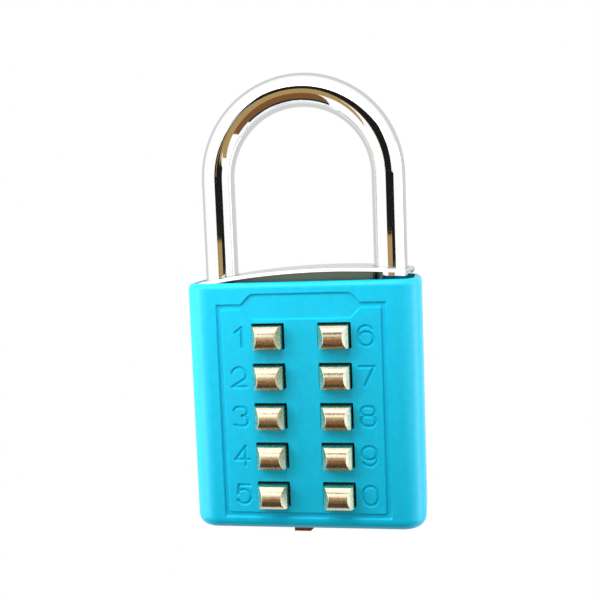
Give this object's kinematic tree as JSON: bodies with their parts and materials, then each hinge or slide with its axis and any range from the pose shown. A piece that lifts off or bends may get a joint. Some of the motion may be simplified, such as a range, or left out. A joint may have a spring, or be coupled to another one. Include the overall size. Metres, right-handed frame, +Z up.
{
  "type": "pushbutton combination padlock",
  "caption": "Keyless padlock: painted case with two columns of numbered push buttons, a chromed shackle that lifts, and a release button under the case.",
  "frame": {"origin": "under the middle of the closed lock, level with the lowest point of the release button", "axes": "+X right seen from the front, +Y through the case to its back, +Z up to the shackle"},
  "size_m": [0.042, 0.019, 0.0835],
  "materials": {
    "enamel": "glossy cyan enamel",
    "chrome": "polished",
    "champagne_nickel": "pale plated, satin",
    "bronze_brown": "browned",
    "brass": "plain",
    "die_cast_zinc": "as cast",
    "steel": "zinc plated",
    "black_steel": "blackened",
    "spring_steel": "bright wire"
  },
  "bodies": {
    "lock": {"case": "enamel", "top_cap": "chrome", "core_body": "die_cast_zinc", "button_keeper": "black_steel", "keeper_screws": "steel", "core_cover": "steel", "cover_screws": "steel", "case_screw": "steel", "retaining_pin": "steel", "latch_spring": "spring_steel", "shackle_spring": "spring_steel", "release_spring": "spring_steel", "button_spring_1": "spring_steel", "button_spring_2": "spring_steel", "button_spring_3": "spring_steel", "button_spring_4": "spring_steel", "button_spring_5": "spring_steel", "button_spring_6": "spring_steel", "button_spring_7": "spring_steel", "button_spring_8": "spring_steel", "button_spring_9": "spring_steel", "button_spring_0": "spring_steel"},
    "shackle": {"shackle": "chrome"},
    "release": {"gate_plate": "brass", "release_button": "bronze_brown"},
    "button_1": {"button_1": "champagne_nickel"},
    "button_2": {"button_2": "champagne_nickel"},
    "button_3": {"button_3": "champagne_nickel"},
    "button_4": {"button_4": "champagne_nickel"},
    "button_5": {"button_5": "champagne_nickel"},
    "button_6": {"button_6": "champagne_nickel"},
    "button_7": {"button_7": "champagne_nickel"},
    "button_8": {"button_8": "champagne_nickel"},
    "button_9": {"button_9": "champagne_nickel"},
    "button_0": {"button_0": "champagne_nickel"}
  },
  "joints": [
    {"name": "shackle_lift", "type": "slide", "parent": "lock", "child": "shackle", "axis": [0, 0, 1], "range_m": [0, 0.012], "deforming": ["shackle_spring", "latch_spring"]},
    {"name": "release_press", "type": "slide", "parent": "lock", "child": "release", "axis": [0, 0, 1], "range_m": [0, 0.0017], "stiffness_N_per_m": 400, "springref_m": -0.002, "deforming": ["release_spring"]},
    {"name": "button_1_press", "type": "slide", "parent": "lock", "child": "button_1", "axis": [0, 1, 0], "range_m": [0, 0.00435], "stiffness_N_per_m": 250, "springref_m": -0.002, "deforming": ["button_spring_1"]},
    {"name": "button_2_press", "type": "slide", "parent": "lock", "child": "button_2", "axis": [0, 1, 0], "range_m": [0, 0.00435], "stiffness_N_per_m": 250, "springref_m": -0.002, "deforming": ["button_spring_2"]},
    {"name": "button_3_press", "type": "slide", "parent": "lock", "child": "button_3", "axis": [0, 1, 0], "range_m": [0, 0.00435], "stiffness_N_per_m": 250, "springref_m": -0.002, "deforming": ["button_spring_3"]},
    {"name": "button_4_press", "type": "slide", "parent": "lock", "child": "button_4", "axis": [0, 1, 0], "range_m": [0, 0.00435], "stiffness_N_per_m": 250, "springref_m": -0.002, "deforming": ["button_spring_4"]},
    {"name": "button_5_press", "type": "slide", "parent": "lock", "child": "button_5", "axis": [0, 1, 0], "range_m": [0, 0.00435], "stiffness_N_per_m": 250, "springref_m": -0.002, "deforming": ["button_spring_5"]},
    {"name": "button_6_press", "type": "slide", "parent": "lock", "child": "button_6", "axis": [0, 1, 0], "range_m": [0, 0.00435], "stiffness_N_per_m": 250, "springref_m": -0.002, "deforming": ["button_spring_6"]},
    {"name": "button_7_press", "type": "slide", "parent": "lock", "child": "button_7", "axis": [0, 1, 0], "range_m": [0, 0.00435], "stiffness_N_per_m": 250, "springref_m": -0.002, "deforming": ["button_spring_7"]},
    {"name": "button_8_press", "type": "slide", "parent": "lock", "child": "button_8", "axis": [0, 1, 0], "range_m": [0, 0.00435], "stiffness_N_per_m": 250, "springref_m": -0.002, "deforming": ["button_spring_8"]},
    {"name": "button_9_press", "type": "slide", "parent": "lock", "child": "button_9", "axis": [0, 1, 0], "range_m": [0, 0.00435], "stiffness_N_per_m": 250, "springref_m": -0.002, "deforming": ["button_spring_9"]},
    {"name": "button_0_press", "type": "slide", "parent": "lock", "child": "button_0", "axis": [0, 1, 0], "range_m": [0, 0.00435], "stiffness_N_per_m": 250, "springref_m": -0.002, "deforming": ["button_spring_0"]}
  ]
}
